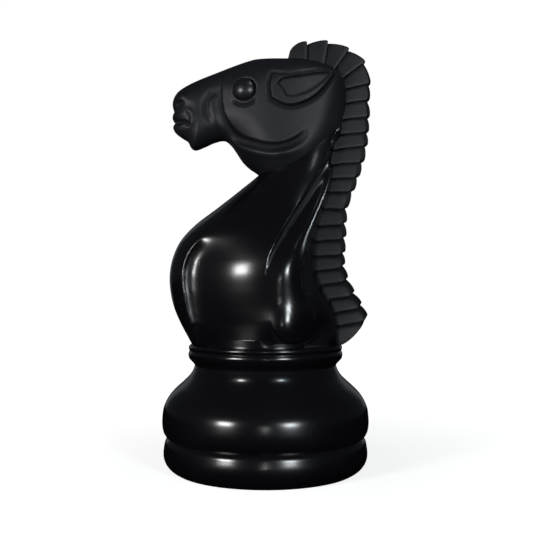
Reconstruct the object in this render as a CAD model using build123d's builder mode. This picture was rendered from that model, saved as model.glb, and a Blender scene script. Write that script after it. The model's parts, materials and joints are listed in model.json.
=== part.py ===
from build123d import *
import math
import os

# Giant garden chess knight: a hollow plastic horse that plugs onto a hollow round pedestal.
# Millimetres, +Z up. The origin is on the pedestal's axis at the ground, and the nose points to -X.

# Driving sizes
WALL = 5.0
FOOT_HEIGHT = 36.8
SEAM_R = 109.2
SHOULDER_Z = 116.0
SHOULDER_R = 79.0
COLLAR_TOP_Z = 139.0
RUN_GAP = 0.06
JOINT_GAP = 0.1
SURFACE_GAP = 0.3

# Filler thread and plug
THREAD_PITCH = 5.0
PLUG_CORE_R = 21.6
PLUG_TIP_R = 23.4
NECK_BORE_R = 23.8
NECK_TIP_R = 22.0
FLOOR_LOW_Z = FOOT_HEIGHT - 6.0
SEAL_THICKNESS = 2.0
PLUG_HEAD_R = 32.0
PLUG_HEAD_HEIGHT = 7.0

# Spigot that the horse turns on and lifts off
SPIGOT_R = 56.0
SPIGOT_TOP_Z = 152.0
SOCKET_FLOOR_R = 72.0
SOCKET_FLOOR_THICKNESS = 8.0
PEG_R = 5.0
PEG_RADIUS_FROM_AXIS = 66.0
PEG_HEIGHT = 6.0

# Neck and chest: height, front X, back X, half width
NECK_SECTIONS = [
    (139.0, -84.5, 84.5, 83.0),
    (156.0, -92.0, 84.0, 83.0),
    (178.0, -101.5, 80.0, 82.0),
    (211.0, -107.4, 64.0, 76.0),
    (234.0, -104.5, 62.0, 70.0),
    (256.0, -94.0, 63.0, 62.0),
    (273.0, -78.0, 65.5, 56.0),
    (290.0, -55.7, 71.0, 50.0),
    (312.0, -27.6, 76.5, 44.0),
    (330.0, -6.0, 80.5, 40.0),
    (347.0, 8.0, 83.0, 36.0),
    (366.0, 26.0, 86.5, 31.0),
    (384.0, 48.0, 88.0, 22.0),
    (400.0, 62.0, 84.0, 12.0),
]
NECK_CAVITY_TOP = 298.0

# Head: station X, lowest Z, highest Z, half width
HEAD_SECTIONS = [
    (-103.5, 380.0, 412.0, 15.0),
    (-98.0, 374.0, 422.0, 22.0),
    (-88.0, 364.5, 430.0, 25.5),
    (-76.0, 359.0, 436.5, 27.0),
    (-62.0, 361.0, 441.5, 27.5),
    (-48.0, 364.0, 446.5, 29.0),
    (-33.0, 354.0, 452.5, 34.0),
    (-10.0, 334.5, 458.5, 42.0),
    (12.0, 328.0, 460.2, 46.0),
    (38.0, 339.0, 457.0, 44.5),
    (60.0, 353.0, 453.0, 38.0),
    (78.0, 373.0, 449.0, 29.0),
    (88.0, 388.0, 445.0, 20.0),
    (93.0, 402.0, 437.0, 11.0),
]

# Grooves pressed into each side, as X and Z along the groove
NECK_GROOVES = [
    [(-54.0, 262.0), (-56.0, 246.0), (-57.5, 228.0), (-57.5, 203.0), (-53.0, 172.0)],
    [(62.0, 318.0), (37.0, 272.0), (20.5, 236.0), (11.0, 199.0), (6.0, 158.0)],
    [(68.0, 298.0), (50.0, 258.0), (41.0, 229.0), (46.0, 199.0), (57.0, 167.0)],
]
NECK_GROOVE_R = 11.0
NECK_GROOVE_DEPTH = 3.0
CHEEK_GROOVE = [(-46.0, 425.0), (-46.5, 403.0), (-39.0, 383.0), (-9.0, 361.0), (12.0, 357.0),
                (32.0, 363.0), (44.0, 373.0)]
HEAD_GROOVE_R = 4.0
HEAD_GROOVE_DEPTH = 1.8

# Mane: tooth number, root X, root Z, crest X, crest Z
MANE_GUIDES = [
    (0, 24.0, 455.0, 22.0, 462.0),
    (1, 46.6, 455.5, 44.5, 475.8),
    (2, 66.4, 452.0, 69.0, 476.5),
    (3, 79.3, 450.0, 93.5, 468.0),
    (4, 94.0, 443.5, 111.3, 454.5),
    (5, 91.5, 427.0, 117.0, 431.5),
    (9, 85.3, 359.0, 113.5, 363.0),
    (12, 73.2, 310.0, 98.0, 312.6),
    (14, 62.0, 271.8, 89.5, 274.9),
    (17, 56.8, 221.8, 87.0, 227.8),
    (19, 70.7, 188.6, 98.5, 193.5),
    (21, 79.0, 165.0, 112.7, 170.5),
    (22, 79.0, 150.0, 88.0, 141.0),
]
MANE_TOOTH_STEP = 3.5
MANE_HALF_THICKNESS = 14.0
MANE_SIDE_STEP = 1.5
MANE_ROOT_DEPTH = 2.0

# Face
EYE_R = 11.5
EYE_CENTRE = (-21.0, -32.0, 417.4)
EAR_OUTLINE = [(6.5, 407.0), (15.5, 400.0), (27.0, 397.0), (48.5, 403.0), (65.0, 416.0),
               (75.0, 431.0), (75.0, 435.0), (45.0, 432.0), (16.0, 428.0), (6.5, 423.0)]
EAR_RECESS = [(22.0, 405.0), (30.0, 403.0), (48.0, 408.5), (66.0, 424.0), (60.0, 428.0),
              (20.0, 423.0), (14.0, 417.0)]
EAR_HEIGHT = 4.0

# Post between head and neck, and the dowels on the parting plane
POST_X = 34.0
POST_R = 12.0
POST_LOW_Z = 308.0
POST_TOP_Z = 372.0
DOWEL_R = 4.0
DOWEL_HALF_LENGTH = 12.0
DOWEL_BOSS_R = 9.0
NECK_DOWELS = [(-96.0, 211.0), (47.0, 232.0), (-82.0, 158.0)]
HEAD_DOWELS = [(-42.0, 438.0), (0.0, 447.5), (-14.0, 348.0)]

# Floor screws
SCREW_COUNT = 6
SCREW_CIRCLE_R = 93.0
SCREW_R = 2.5
SCREW_HEAD_R = 5.0
SCREW_LENGTH = 22.0
SCREW_BOSS_R = 8.0


def thread_ridge(root_r, tip_r, low_z, turns):
    """Helical ridge of trapezoid section, from root_r to tip_r."""
    with BuildPart() as ridge:
        with BuildLine() as path:
            Helix(THREAD_PITCH, turns * THREAD_PITCH, root_r, center=(0, 0, low_z))
        with BuildSketch(Plane.XZ):
            with BuildLine():
                Polyline((root_r, low_z - 1.0), (tip_r, low_z - 0.5), (tip_r, low_z + 0.5),
                         (root_r, low_z + 1.0), close=True)
            make_face()
        sweep(path=path.line, is_frenet=True)
    return ridge.part


def beside(sections, station, across, lift):
    """Place across a section and its Y, lifted off the left surface along the section's normal."""
    for first, second in zip(sections, sections[1:]):
        if first[0] <= station <= second[0]:
            share = (station - first[0]) / (second[0] - first[0])
            low, high, half_width = [a + share * (b - a) for a, b in zip(first[1:], second[1:])]
    half_span = (high - low) / 2
    offset = across - (low + high) / 2
    y = -half_width * math.sqrt(1.0 - (offset / half_span) ** 2)
    normal = Vector(offset / half_span**2, y / half_width**2).normalized()
    return across + lift * normal.X, y + lift * normal.Y


def groove_rod(points, radius):
    """Round rod along points. It cuts a groove where it sinks into the surface."""
    with BuildPart() as rod:
        with BuildLine() as path:
            Spline(*points)
        with BuildSketch(Plane(origin=path.line @ 0, z_dir=path.line % 0)):
            Circle(radius)
        sweep(path=path.line)
    return rod.part


def groove_lift(index, count, radius, depth):
    """Height of the rod's axis: sunk to the depth in the middle, clear of the surface at both ends."""
    return radius + 0.5 - (depth + 0.5) * math.sin(math.pi * index / (count - 1)) ** 0.5


def head_solid(grow=0.0):
    """Closed outer form of the head, grown outwards, or its inside when shrunk."""
    sections = HEAD_SECTIONS if grow > -WALL else HEAD_SECTIONS[1:-1]
    with BuildPart() as form:
        for station, low, high, half_width in sections:
            middle = (low + high) / 2
            plane = Plane(origin=(station, 0, middle), x_dir=(0, 1, 0), z_dir=(1, 0, 0))
            with BuildSketch(plane):
                Ellipse(half_width + grow, (high - low) / 2 + grow)
        loft()
    return form.part


def neck_solid(inset=0.0, top=None):
    """Closed outer form of the neck and chest, or its inside when inset and cut at a top level."""
    with BuildPart() as form:
        for height, front, back, half_width in NECK_SECTIONS:
            if top is not None and height > top:
                continue
            middle = (front + back) / 2
            with BuildSketch(Plane.XY.offset(height)):
                with Locations((middle, 0)):
                    Ellipse((back - front) / 2 - inset, half_width - inset)
        loft()
    return form.part


def mane_line(tooth):
    """Root and crest points of one tooth line, between the two nearest guides."""
    for first, second in zip(MANE_GUIDES, MANE_GUIDES[1:]):
        if first[0] <= tooth <= second[0]:
            share = (tooth - first[0]) / (second[0] - first[0])
            root_x, root_z, crest_x, crest_z = [
                a + share * (b - a) for a, b in zip(first[1:], second[1:])
            ]
            return Vector(root_x, 0, root_z), Vector(crest_x, 0, crest_z)


def mane_section(tooth, step_back, thickness, clearance):
    """Rectangle across the mane on one tooth line."""
    root, crest = mane_line(tooth)
    along = (crest - root).normalized()
    start = root - along * (MANE_ROOT_DEPTH + clearance)
    length = (crest - start).length - step_back + clearance
    plane = Plane(origin=start, x_dir=along, z_dir=along.cross(Vector(0, 1, 0)))
    with BuildSketch(plane) as section:
        Rectangle(length, 2 * (thickness + clearance), align=(Align.MIN, Align.CENTER))
    return section.sketch


def mane_solid(clearance=0.0):
    """Row of overlapping teeth from the forelock down to the collar."""
    with BuildPart() as row:
        for tooth in range(MANE_GUIDES[-1][0]):
            narrow = MANE_HALF_THICKNESS - MANE_SIDE_STEP
            start = mane_section(tooth, MANE_TOOTH_STEP, narrow, clearance)
            end = mane_section(tooth + 1, 0.0, MANE_HALF_THICKNESS, clearance)
            loft(Sketch() + [start, end], ruled=True)
    return row.part


def side_prism(outline):
    """Prism that runs out through the left side of the head over an outline in X and Z."""
    with BuildPart() as prism:
        with BuildSketch(Plane.XZ.offset(10.0)):
            with BuildLine():
                Spline(*outline, periodic=True)
            make_face()
        extrude(amount=60.0)
    return prism.part


def y_cylinders(places, radius, half_length):
    """Cylinders across the parting plane at places given in X and Z."""
    with BuildPart() as rods:
        for x, z in places:
            with Locations(Location((x, 0, z), (90, 0, 0))):
                Cylinder(radius, 2 * half_length)
    return rods.part


def left_half(whole):
    """The half on the -Y side of the parting plane."""
    with BuildPart() as half:
        add(whole)
        split(bisect_by=Plane.XZ, keep=Keep.TOP)
    return half.part


def mirrored(part):
    """The same part on the other side of the parting plane."""
    with BuildPart() as other:
        mirror(part, about=Plane.XZ)
    return other.part


def write(part, name):
    """Labels one piece and writes its file."""
    part.label = name
    export_step(part, f"parts/{name}.step")


os.makedirs("parts", exist_ok=True)

# Foot: rounded ring with the floor and the threaded filler neck
with BuildPart() as foot:
    with BuildSketch(Plane.XZ):
        with BuildLine():
            outer = Spline((99.5, 0), (108.2, 6.0), (113.4, 15.0))
            side = Spline(outer @ 1, (112.8, 27.5), (SEAM_R, FOOT_HEIGHT))
            top = Line(side @ 1, (NECK_BORE_R, FOOT_HEIGHT))
            bore = Line(top @ 1, (NECK_BORE_R, FLOOR_LOW_Z))
            under = Line(bore @ 1, (106.0, FLOOR_LOW_Z))
            inner = Line(under @ 1, (107.5, 15.0))
            lip = Spline(inner @ 1, (102.8, 6.5), (94.0, 0))
            Line(lip @ 1, outer @ 0)
        make_face()
    revolve(axis=Axis.Z)
    with BuildSketch(Plane.XY.offset(FLOOR_LOW_Z)):
        Circle(NECK_BORE_R + WALL)
        Circle(NECK_BORE_R, mode=Mode.SUBTRACT)
    extrude(amount=22.0)
    add(thread_ridge(NECK_BORE_R + 0.2, NECK_TIP_R, FLOOR_LOW_Z + 4.0, 3))
    with Locations((0, 0, FLOOR_LOW_Z)):
        with PolarLocations(SCREW_CIRCLE_R, SCREW_COUNT):
            Cylinder(SCREW_R + JOINT_GAP, 6.0, align=(Align.CENTER, Align.CENTER, Align.MIN),
                     mode=Mode.SUBTRACT)
write(foot.part, "foot")

# Pedestal: bulged shell, screw bosses, shoulder and closed spigot
with BuildPart() as pedestal:
    with BuildSketch(Plane.XZ):
        with BuildLine():
            bulge = Spline((SEAM_R, FOOT_HEIGHT), (112.6, 41.5), (115.0, 52.0), (114.3, 66.5),
                           (108.9, 80.0), (98.0, 92.8), (85.6, 104.2), (SHOULDER_R, SHOULDER_Z))
            shoulder = Line(bulge @ 1, (SPIGOT_R, SHOULDER_Z))
            spigot = Line(shoulder @ 1, (SPIGOT_R, SPIGOT_TOP_Z))
            cap = Line(spigot @ 1, (0, SPIGOT_TOP_Z))
            axis_top = Line(cap @ 1, (0, SPIGOT_TOP_Z - WALL))
            cap_under = Line(axis_top @ 1, (SPIGOT_R - WALL, SPIGOT_TOP_Z - WALL))
            spigot_in = Line(cap_under @ 1, (SPIGOT_R - WALL, SHOULDER_Z - WALL))
            shoulder_in = Line(spigot_in @ 1, (74.0, SHOULDER_Z - WALL))
            bulge_in = Spline(shoulder_in @ 1, (93.5, 90.0), (108.0, 67.0), (110.0, 53.0),
                              (108.0, 43.0), (104.0, FOOT_HEIGHT))
            Line(bulge_in @ 1, bulge @ 0)
        make_face()
    revolve(axis=Axis.Z)
    with Locations((0, 0, FOOT_HEIGHT)):
        with PolarLocations(SCREW_CIRCLE_R, SCREW_COUNT):
            Cylinder(SCREW_BOSS_R, 28.0, align=(Align.CENTER, Align.CENTER, Align.MIN))
            with Locations((9.25, 0, 5.0)):
                Box(18.5, 6.0, 18.0, align=(Align.CENTER, Align.CENTER, Align.MIN))
        with PolarLocations(SCREW_CIRCLE_R, SCREW_COUNT):
            Cylinder(SCREW_R, 20.0, align=(Align.CENTER, Align.CENTER, Align.MIN),
                     mode=Mode.SUBTRACT)
write(pedestal.part, "pedestal")

# Screws that hold the floor to the pedestal
with BuildPart() as floor_screws:
    with Locations((0, 0, FLOOR_LOW_Z)):
        with PolarLocations(SCREW_CIRCLE_R, SCREW_COUNT):
            Cylinder(SCREW_HEAD_R, 3.0, align=(Align.CENTER, Align.CENTER, Align.MAX))
            Cylinder(SCREW_R - 0.05, SCREW_LENGTH, align=(Align.CENTER, Align.CENTER, Align.MIN))
            with Locations((0, 0, -3.0)):
                Box(7.0, 1.2, 2.4, mode=Mode.SUBTRACT)
                Box(1.2, 7.0, 2.4, mode=Mode.SUBTRACT)
write(floor_screws.part, "floor_screws")

# Sand bed that weights the pedestal, level around the filler neck
with BuildPart() as ballast:
    with BuildSketch(Plane.XZ):
        with BuildLine():
            Polyline((NECK_BORE_R + WALL + 1.0, FOOT_HEIGHT), (82.0, FOOT_HEIGHT), (82.0, 66.0),
                     (NECK_BORE_R + WALL + 1.0, 66.0), close=True)
        make_face()
    revolve(axis=Axis.Z)
write(ballast.part, "ballast")

# Seal washer under the plug's head
with BuildPart() as plug_seal:
    with BuildSketch(Plane.XY.offset(FLOOR_LOW_Z - SEAL_THICKNESS)):
        Circle(PLUG_HEAD_R - 1.0)
        Circle(PLUG_TIP_R + 0.4, mode=Mode.SUBTRACT)
    extrude(amount=SEAL_THICKNESS)
write(plug_seal.part, "plug_seal")

# Filler plug: head with a coin slot, hollow stem and helical ridge
with BuildPart() as filler_plug:
    head_top_z = FLOOR_LOW_Z - SEAL_THICKNESS
    with BuildSketch(Plane.XY.offset(head_top_z)):
        Circle(PLUG_HEAD_R)
    extrude(amount=-PLUG_HEAD_HEIGHT)
    with BuildSketch(Plane.XY.offset(head_top_z)):
        Circle(PLUG_CORE_R)
    extrude(amount=19.0)
    ridge_low_z = FLOOR_LOW_Z + 4.0 + THREAD_PITCH / 2
    add(thread_ridge(PLUG_CORE_R - 0.2, PLUG_TIP_R, ridge_low_z, 1.75))
    with BuildSketch(Plane.XY.offset(head_top_z)):
        Circle(PLUG_CORE_R - 4.0)
    extrude(amount=19.0, mode=Mode.SUBTRACT)
    with Locations((0, 0, head_top_z - PLUG_HEAD_HEIGHT)):
        Box(44.0, 5.0, 8.0, mode=Mode.SUBTRACT)
write(filler_plug.part, "filler_plug")

# Collar: rounded bead that turns round the spigot and drives the horse with two pegs
with BuildPart() as collar:
    with BuildSketch(Plane.XZ):
        with BuildLine():
            bead = Spline((SHOULDER_R, SHOULDER_Z), (83.6, 122.6), (86.0, 128.5), (86.0, 133.0),
                          (84.0, COLLAR_TOP_Z))
            flat = Line(bead @ 1, (SPIGOT_R + RUN_GAP, COLLAR_TOP_Z))
            inside = Line(flat @ 1, (SPIGOT_R + RUN_GAP, SHOULDER_Z))
            Line(inside @ 1, bead @ 0)
        make_face()
    revolve(axis=Axis.Z)
    with Locations((0, 0, COLLAR_TOP_Z)):
        with PolarLocations(PEG_RADIUS_FROM_AXIS, 2, start_angle=90):
            Cylinder(PEG_R, PEG_HEIGHT, align=(Align.CENTER, Align.CENTER, Align.MIN))
write(collar.part, "collar")

# Whole forms that the horse's pieces are cut from
head_form = head_solid()
neck_form = neck_solid()
mane_cutter = mane_solid(clearance=JOINT_GAP)

# Neck floor: disc with the socket that fits over the spigot
with BuildPart() as neck_floor:
    with BuildSketch(Plane.XY.offset(COLLAR_TOP_Z)):
        Circle(SOCKET_FLOOR_R - JOINT_GAP)
    extrude(amount=SOCKET_FLOOR_THICKNESS)
    with BuildSketch(Plane.XY.offset(COLLAR_TOP_Z)):
        Circle(SPIGOT_R + WALL)
    extrude(amount=SPIGOT_TOP_Z + 3.0 + WALL - COLLAR_TOP_Z)
    with BuildSketch(Plane.XY.offset(COLLAR_TOP_Z)):
        Circle(SPIGOT_R + RUN_GAP)
    extrude(amount=SPIGOT_TOP_Z + 3.0 - COLLAR_TOP_Z, mode=Mode.SUBTRACT)
    with Locations((0, 0, COLLAR_TOP_Z)):
        with PolarLocations(PEG_RADIUS_FROM_AXIS, 2, start_angle=90):
            Cylinder(PEG_R + JOINT_GAP, SOCKET_FLOOR_THICKNESS,
                     align=(Align.CENTER, Align.CENTER, Align.MIN), mode=Mode.SUBTRACT)
write(neck_floor.part, "neck_floor")

# Neck and chest shell: hollow below, solid under the head, parted on the middle plane
with BuildPart() as neck_whole:
    add(neck_form)
    add(neck_solid(inset=WALL, top=NECK_CAVITY_TOP), mode=Mode.SUBTRACT)
    with Locations((0, 0, COLLAR_TOP_Z)):
        Cylinder(SOCKET_FLOOR_R, SOCKET_FLOOR_THICKNESS,
                 align=(Align.CENTER, Align.CENTER, Align.MIN), mode=Mode.SUBTRACT)
with BuildPart() as neck_bosses:
    add(y_cylinders(NECK_DOWELS, DOWEL_BOSS_R, DOWEL_HALF_LENGTH + 3.0))
    add(neck_form, mode=Mode.INTERSECT)
with BuildPart() as neck_left:
    add(left_half(neck_whole.part))
    add(left_half(neck_bosses.part))
    for line in NECK_GROOVES:
        points = []
        for index, (x, z) in enumerate(line):
            lift = groove_lift(index, len(line), NECK_GROOVE_R, NECK_GROOVE_DEPTH)
            points.append((*beside(NECK_SECTIONS, z, x, lift), z))
        add(groove_rod(points, NECK_GROOVE_R), mode=Mode.SUBTRACT)
    add(y_cylinders(NECK_DOWELS, DOWEL_R, DOWEL_HALF_LENGTH + 0.5), mode=Mode.SUBTRACT)
    add(head_solid(grow=SURFACE_GAP), mode=Mode.SUBTRACT)
    add(mane_cutter, mode=Mode.SUBTRACT)
    with Locations((POST_X, 0, POST_LOW_Z - 0.5)):
        Cylinder(POST_R + JOINT_GAP, 60.0, align=(Align.CENTER, Align.CENTER, Align.MIN),
                 mode=Mode.SUBTRACT)
write(neck_left.part, "neck_left")
write(mirrored(neck_left.part), "neck_right")

# Head shell with the ear's relief, the eye socket and the post's boss
with BuildPart() as head_cavity:
    add(head_solid(grow=-WALL))
    with Locations((POST_X, 0, 300.0)):
        Cylinder(POST_R + 7.0, POST_TOP_Z + 4.0 - 300.0,
                 align=(Align.CENTER, Align.CENTER, Align.MIN), mode=Mode.SUBTRACT)
    add(y_cylinders(HEAD_DOWELS, DOWEL_BOSS_R, DOWEL_HALF_LENGTH + 3.0), mode=Mode.SUBTRACT)
with BuildPart() as ear:
    add(side_prism(EAR_OUTLINE))
    add(head_solid(grow=EAR_HEIGHT), mode=Mode.INTERSECT)
with BuildPart() as ear_recess:
    add(side_prism(EAR_RECESS))
    add(head_solid(grow=1.0), mode=Mode.SUBTRACT)
with BuildPart() as head_left:
    add(left_half(head_form))
    add(ear.part)
    add(ear_recess.part, mode=Mode.SUBTRACT)
    add(head_cavity.part, mode=Mode.SUBTRACT)
    points = []
    for index, (x, z) in enumerate(CHEEK_GROOVE):
        lift = groove_lift(index, len(CHEEK_GROOVE), HEAD_GROOVE_R, HEAD_GROOVE_DEPTH)
        across, y = beside(HEAD_SECTIONS, x, z, lift)
        points.append((x, y, across))
    add(groove_rod(points, HEAD_GROOVE_R), mode=Mode.SUBTRACT)
    add(y_cylinders(HEAD_DOWELS, DOWEL_R, DOWEL_HALF_LENGTH + 0.5), mode=Mode.SUBTRACT)
    add(mane_cutter, mode=Mode.SUBTRACT)
    with Locations((POST_X, 0, 300.0)):
        Cylinder(POST_R + JOINT_GAP, POST_TOP_Z + 0.5 - 300.0,
                 align=(Align.CENTER, Align.CENTER, Align.MIN), mode=Mode.SUBTRACT)
    with Locations(EYE_CENTRE):
        Sphere(EYE_R + JOINT_GAP, mode=Mode.SUBTRACT)
write(head_left.part, "head_left")
write(mirrored(head_left.part), "head_right")

# Eyes: balls set in the sockets
with BuildPart() as eye_left:
    with Locations(EYE_CENTRE):
        Sphere(EYE_R)
write(eye_left.part, "eye_left")
write(mirrored(eye_left.part), "eye_right")

# Dowels and post
with BuildPart() as neck_dowels:
    add(y_cylinders(NECK_DOWELS, DOWEL_R - 0.05, DOWEL_HALF_LENGTH))
write(neck_dowels.part, "neck_dowels")
with BuildPart() as head_dowels:
    add(y_cylinders(HEAD_DOWELS, DOWEL_R - 0.05, DOWEL_HALF_LENGTH))
write(head_dowels.part, "head_dowels")
with BuildPart() as head_post:
    with Locations((POST_X, 0, POST_LOW_Z)):
        Cylinder(POST_R, POST_TOP_Z - POST_LOW_Z,
                 align=(Align.CENTER, Align.CENTER, Align.MIN))
write(head_post.part, "head_post")

# Mane
with BuildPart() as mane:
    add(mane_solid())
write(mane.part, "mane")
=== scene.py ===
# %% [markdown]
# # Giant garden chess knight
# The real piece is a hollow plastic casting about half a metre tall. The neck, chest and
# pedestal are glossy black, and the head and mane are a matt black. Each visible piece is
# remade here with finer form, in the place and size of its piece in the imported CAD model. The
# pieces inside and underneath are shown as the CAD model has them.

import json
import math

import bpy
import numpy as np
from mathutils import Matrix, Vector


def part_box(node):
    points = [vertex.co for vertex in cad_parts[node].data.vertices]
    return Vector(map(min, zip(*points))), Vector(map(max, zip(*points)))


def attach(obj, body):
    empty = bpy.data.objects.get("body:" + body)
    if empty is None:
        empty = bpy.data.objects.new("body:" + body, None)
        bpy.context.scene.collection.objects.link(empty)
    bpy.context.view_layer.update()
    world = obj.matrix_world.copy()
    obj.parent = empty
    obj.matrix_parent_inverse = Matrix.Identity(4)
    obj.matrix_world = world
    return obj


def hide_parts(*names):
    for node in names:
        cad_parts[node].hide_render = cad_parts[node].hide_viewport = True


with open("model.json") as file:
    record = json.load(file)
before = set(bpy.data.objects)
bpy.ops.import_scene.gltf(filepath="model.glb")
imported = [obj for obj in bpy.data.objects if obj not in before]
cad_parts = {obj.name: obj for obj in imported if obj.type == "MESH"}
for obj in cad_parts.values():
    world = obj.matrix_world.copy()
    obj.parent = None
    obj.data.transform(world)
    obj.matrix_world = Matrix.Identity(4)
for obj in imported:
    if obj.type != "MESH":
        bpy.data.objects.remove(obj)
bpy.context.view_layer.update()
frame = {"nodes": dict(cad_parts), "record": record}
MM = 0.001

# %% [markdown]
# ## Smooth curves and fields
# A carved form is easiest to describe from the side, as curves drawn on it. This step turns a
# few points into a smooth curve, and measures for every place of a grid how far it is from
# the curve, on which side, and how far along. Edges, grooves and rolls then are formulas of
# that distance.

# %% Curves and distances on the side plane
def smooth_line(points, steps=10):
    """Points along a smooth curve through the given points."""
    points = np.array(points, float)
    first = 2 * points[0] - points[1]
    last = 2 * points[-1] - points[-2]
    padded = np.vstack([first, points, last])
    share = np.linspace(0, 1, steps, endpoint=False)[:, None]
    spans = []
    for a, b, c, d in zip(padded, padded[1:], padded[2:], padded[3:]):
        spans.append(0.5 * (2 * b + (c - a) * share + (2 * a - 5 * b + 4 * c - d) * share**2
                            + (3 * b - a - 3 * c + d) * share**3))
    return np.vstack([*spans, points[-1]])


def joined(*lines):
    """One closed outline from smooth lines that meet at corners."""
    return np.vstack([smooth_line(line)[:-1] for line in lines])


def nearest(line, x, z, closed=False):
    """Distance to a line, positive on its left side, and the share of its length, per place."""
    starts = line
    ends = np.roll(line, -1, axis=0)
    if not closed:
        starts, ends = starts[:-1], ends[:-1]
    lengths = np.hypot(*(ends - starts).T)
    before = np.concatenate([[0], np.cumsum(lengths)])
    best = np.full(x.shape, np.inf)
    side = np.ones(x.shape)
    share = np.zeros(x.shape)
    for (ax, az), (bx, bz), length, start in zip(starts, ends, lengths, before):
        dx, dz = (bx - ax) / length, (bz - az) / length
        along = np.clip((x - ax) * dx + (z - az) * dz, 0, length)
        off_x, off_z = x - ax - along * dx, z - az - along * dz
        away = np.hypot(off_x, off_z)
        nearer = away < best
        best = np.where(nearer, away, best)
        turn = np.where(dx * (z - az) - dz * (x - ax) >= 0, 1.0, -1.0)
        side = np.where(nearer, turn, side)
        share = np.where(nearer, (start + along) / before[-1], share)
    return best * side, share


def inside_distance(outline, x, z):
    """Distance to a closed outline, positive inside it."""
    away = np.abs(nearest(outline, x, z, closed=True)[0])
    inside = np.zeros(x.shape, bool)
    for (ax, az), (bx, bz) in zip(outline, np.roll(outline, -1, axis=0)):
        spans = (az > z) != (bz > z)
        crossing = ax + (z - az) * (bx - ax) / (bz - az if bz != az else 1e-9)
        inside ^= spans & (x < crossing)
    return np.where(inside, away, -away)


def ramp(low, high, value):
    """Smooth step from 0 at low to 1 at high."""
    share = np.clip((value - low) / (high - low), 0, 1)
    return share * share * (3 - 2 * share)


def bell(distance, width):
    """Rounded hump of height 1."""
    return np.exp(-((distance / width) ** 2))


def parting_seam(y):
    """Fine groove where the left and right halves meet, as a rise of the field."""
    return 0.3 * bell(y, 0.9)


def through(rows, place):
    """Smooth values through rows of (place, value, value, ...), for each place asked."""
    rows = np.array(rows, float)
    knots = rows[:, 0]
    slopes = np.gradient(rows[:, 1:], knots, axis=0)
    index = np.clip(np.searchsorted(knots, place) - 1, 0, len(knots) - 2)
    span = knots[index + 1] - knots[index]
    t = np.clip((place - knots[index]) / span, 0, 1)
    values = []
    for column in range(rows.shape[1] - 1):
        a, b = rows[index, column + 1], rows[index + 1, column + 1]
        p, q = slopes[index, column] * span, slopes[index + 1, column] * span
        values.append((2 * t**3 - 3 * t**2 + 1) * a + (t**3 - 2 * t**2 + t) * p
                      + (3 * t**2 - 2 * t**3) * b + (t**3 - t**2) * q)
    return values


def step_edge(distance, depth, wall, width):
    """Crisp edge with a trough beside it on the positive side, that rises back over its width."""
    fall = ramp(-1.2, wall, distance)
    rise = 1 - ramp(wall, width, distance)
    return -depth * fall * rise


def fade(share, start, end):
    """1 along a curve, falling to 0 over the given shares at its two ends."""
    return ramp(0, max(start, 1e-6), share) * (1 - ramp(1 - max(end, 1e-6), 1, share))


# %% [markdown]
# ## From a field to a mesh
# The head and neck are carved forms with no simple outline, so they are modelled as a field:
# a number for each place, negative inside. Each small cube of a grid that the surface passes
# through gets one vertex, and neighbouring cubes are joined by quads. The vertices are then
# moved exactly onto the surface, so that gloss on them stays smooth.

# %% Surface of a field
def sample(field, low, step, points):
    """Field values between grid places."""
    place = (points - low) / step
    base = np.clip(np.floor(place).astype(int), 0, np.array(field.shape) - 2)
    share = place - base
    total = np.zeros(len(points))
    for corner in range(8):
        i, j, k = corner & 1, (corner >> 1) & 1, corner >> 2
        weight = (np.where(i, share[:, 0], 1 - share[:, 0])
                  * np.where(j, share[:, 1], 1 - share[:, 1])
                  * np.where(k, share[:, 2], 1 - share[:, 2]))
        total += weight * field[base[:, 0] + i, base[:, 1] + j, base[:, 2] + k]
    return total


def slope(field, low, step, points):
    """Gradient of the field at points."""
    parts = []
    for axis in range(3):
        shift = np.zeros(3)
        shift[axis] = step / 2
        parts.append((sample(field, low, step, points + shift)
                      - sample(field, low, step, points - shift)) / step)
    return np.stack(parts, axis=1)


def surface(field, low, step):
    """Vertices and quads of the field's zero surface."""
    inside = field < 0
    cells = tuple(n - 1 for n in field.shape)
    total = np.zeros(cells + (3,), np.float32)
    count = np.zeros(cells, np.int8)
    for axis in range(3):
        ahead = [slice(None)] * 3
        behind = [slice(None)] * 3
        ahead[axis], behind[axis] = slice(1, None), slice(None, -1)
        a, b = field[tuple(behind)], field[tuple(ahead)]
        crossed = inside[tuple(behind)] != inside[tuple(ahead)]
        where = np.where(crossed, a / np.where(crossed, a - b, 1), 0)
        others = [n for n in range(3) if n != axis]
        for first in (0, 1):
            for second in (0, 1):
                cut = [slice(None)] * 3
                for other, offset in zip(others, (first, second)):
                    cut[other] = slice(1, None) if offset else slice(None, -1)
                hit = crossed[tuple(cut)]
                total[..., axis] += np.where(hit, where[tuple(cut)], 0)
                total[..., others[0]] += hit * first
                total[..., others[1]] += hit * second
                count += hit
    used = count > 0
    number = np.full(cells, -1)
    number[used] = np.arange(used.sum())
    corner = np.argwhere(used)
    points = low + step * (corner + total[used] / count[used][:, None])
    quads = []
    for axis in range(3):
        others = [n for n in range(3) if n != axis]
        behind = [slice(1, -1)] * 3
        ahead = [slice(1, -1)] * 3
        behind[axis], ahead[axis] = slice(None, -1), slice(1, None)
        a, b = inside[tuple(behind)], inside[tuple(ahead)]
        for leaving in (True, False):
            place = np.argwhere((a & ~b) if leaving else (~a & b))
            place[:, others] += 1
            ring = []
            for first, second in ((0, 0), (1, 0), (1, 1), (0, 1)):
                cell = place.copy()
                cell[:, others[0]] -= 1 - first
                cell[:, others[1]] -= 1 - second
                ring.append(number[tuple(cell.T)])
            quad = np.stack(ring, axis=1)
            quads.append(quad if leaving != (axis == 1) else quad[:, ::-1])
    return points, np.vstack(quads)


FLATTEST_SLOPE = 0.05  # keeps a vertex from flying off where the field is nearly level


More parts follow.
